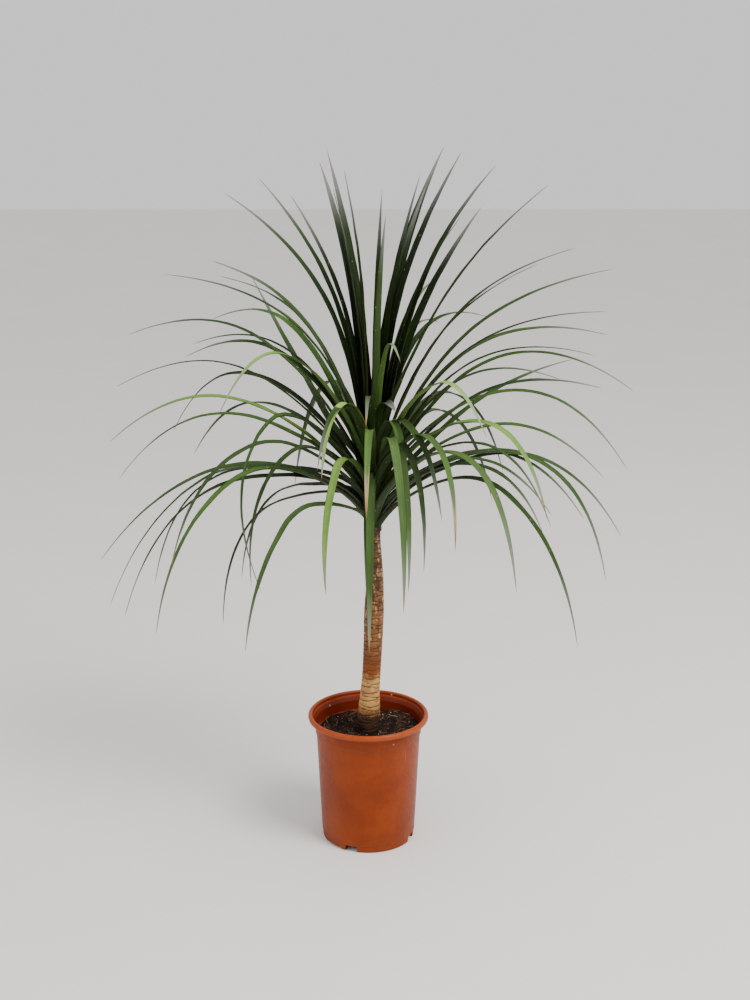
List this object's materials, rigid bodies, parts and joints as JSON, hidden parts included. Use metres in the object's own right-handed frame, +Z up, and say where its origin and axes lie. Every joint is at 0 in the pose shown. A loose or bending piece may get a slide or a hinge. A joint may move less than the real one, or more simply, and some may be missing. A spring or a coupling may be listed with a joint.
{
  "type": "potted dragon tree",
  "caption": "Houseplant with one bare stem and a spiral crown of long arching strap leaves, in a tapered plastic nursery pot filled with potting mix.",
  "frame": {"origin": "middle of the pot's flat underside, on the surface the pot stands on", "axes": "+Z up along the pot's axis; -Y is the front, the side seen first; +X to the right of it"},
  "size_m": [0.8306, 0.6544, 1.075],
  "materials": {
    "pot": "terracotta-brown moulded plastic with a soft sheen",
    "potting_mix": "moist dark peat with bark crumbs, pale fibres and white grit",
    "bark": "dry tan bark with ring-shaped leaf scars",
    "leaf": "satin, leathery, darker above and grey-green below"
  },
  "bodies": {
    "root": {"pot": "pot", "potting_mix": "potting_mix", "stem": "bark", "leaf_01": "leaf", "leaf_02": "leaf", "leaf_03": "leaf", "leaf_04": "leaf", "leaf_05": "leaf", "leaf_06": "leaf", "leaf_07": "leaf", "leaf_08": "leaf", "leaf_09": "leaf", "leaf_10": "leaf", "leaf_11": "leaf", "leaf_12": "leaf", "leaf_13": "leaf", "leaf_14": "leaf", "leaf_15": "leaf", "leaf_16": "leaf", "leaf_17": "leaf", "leaf_18": "leaf", "leaf_19": "leaf", "leaf_20": "leaf", "leaf_21": "leaf", "leaf_22": "leaf", "leaf_23": "leaf", "leaf_24": "leaf", "leaf_25": "leaf", "leaf_26": "leaf", "leaf_27": "leaf", "leaf_28": "leaf", "leaf_29": "leaf", "leaf_30": "leaf", "leaf_31": "leaf", "leaf_32": "leaf", "leaf_33": "leaf", "leaf_34": "leaf", "leaf_35": "leaf", "leaf_36": "leaf", "leaf_37": "leaf", "leaf_38": "leaf", "leaf_39": "leaf", "leaf_40": "leaf", "leaf_41": "leaf", "leaf_42": "leaf", "leaf_43": "leaf", "leaf_44": "leaf", "leaf_45": "leaf", "leaf_46": "leaf", "leaf_47": "leaf", "leaf_48": "leaf", "leaf_49": "leaf", "leaf_50": "leaf", "leaf_51": "leaf", "leaf_52": "leaf", "leaf_53": "leaf", "leaf_54": "leaf", "leaf_55": "leaf", "leaf_56": "leaf", "leaf_57": "leaf"}
  },
  "joints": []
}
